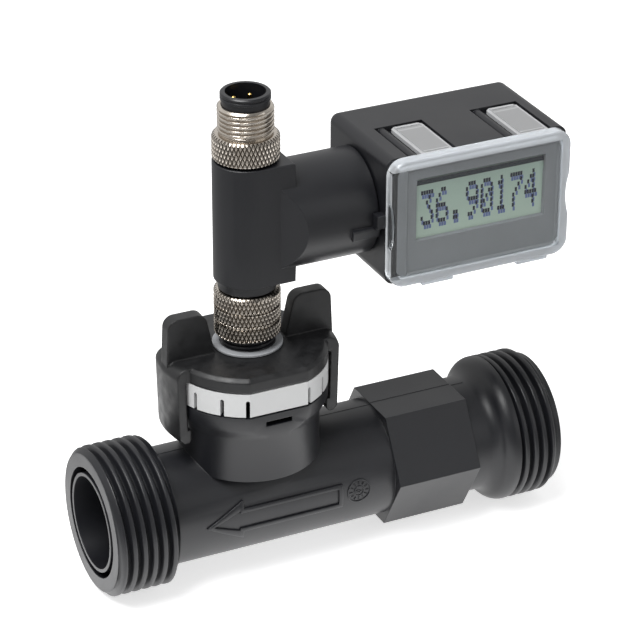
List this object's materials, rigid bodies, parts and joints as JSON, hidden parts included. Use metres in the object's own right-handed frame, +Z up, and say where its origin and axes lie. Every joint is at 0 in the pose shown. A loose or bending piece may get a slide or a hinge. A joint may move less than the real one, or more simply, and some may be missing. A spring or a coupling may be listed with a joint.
{
  "type": "vortex flow meter",
  "caption": "In-line vortex flow meter: moulded pipe with threaded ends and sensor boss, twist-lock cap, tee connector and turnable display with clear cover.",
  "frame": {"origin": "on the pipe axis, where the sensor column's axis crosses it", "axes": "+X along the pipe towards the inlet, so the flow runs along -X; +Z up along the sensor column; -Y is the side of the flow arrow and of the display's face"},
  "size_m": [0.1077, 0.0332, 0.1107],
  "materials": {
    "black_plastic": "fine matt moulded, glass-filled",
    "white_plastic": "satin moulded",
    "nickel": "nickel-plated, turned",
    "gold": "gold-plated contacts",
    "grey_seal": "matt",
    "black_rubber": "matt",
    "board": "solder resist over glass fibre",
    "ceramic": "fired piezo ceramic with silver faces",
    "spring_steel": "bright spring wire",
    "screen": "reflective screen, pale green",
    "grey_panel": "satin",
    "clear_plastic": "clear, polished"
  },
  "bodies": {
    "meter": {"measuring_tube": "black_plastic", "sensor_insert": "black_plastic", "piezo_element": "ceramic", "insert_oring": "black_rubber", "sensor_board": "board", "sensor_head": "black_plastic", "slotted_ring": "white_plastic", "seal_washer": "grey_seal", "sensor_plug_shell": "nickel", "sensor_plug_insert": "black_plastic", "sensor_plug_pins": "gold", "socket_seal": "black_rubber", "socket_carrier": "black_plastic", "socket_contacts": "gold", "tee_body": "black_plastic", "neck_seal": "black_rubber", "neck_clip": "spring_steel", "plug_insert": "black_plastic", "plug_pins": "gold"},
    "cap": {"locking_cap": "black_plastic"},
    "nut": {"coupling_nut": "nickel"},
    "plug": {"plug_screw": "nickel"},
    "display": {"display_housing": "black_plastic", "display_board": "board", "contact_strips": "black_rubber", "lcd_module": "screen", "bezel_panel": "grey_panel"},
    "cover": {"clear_cover": "clear_plastic"}
  },
  "joints": [
    {"name": "display_turn", "type": "hinge", "parent": "meter", "child": "display", "pos_m": [0, 0, 0.0645], "axis": [1, 0, 0], "range_deg": [-330, 0]},
    {"name": "cap_turn", "type": "hinge", "parent": "meter", "child": "cap", "pos_m": [0, 0, 0.03], "axis": [0, 0, 1], "range_deg": [0, 90]},
    {"name": "nut_turn", "type": "hinge", "parent": "meter", "child": "nut", "pos_m": [0, 0, 0.044], "axis": [0, 0, 1], "continuous": true},
    {"name": "plug_turn", "type": "hinge", "parent": "meter", "child": "plug", "pos_m": [0, 0, 0.085], "axis": [0, 0, 1], "continuous": true},
    {"name": "cover_pull", "type": "slide", "parent": "display", "child": "cover", "axis": [0, -1, 0], "range_m": [0, 0.02]}
  ]
}
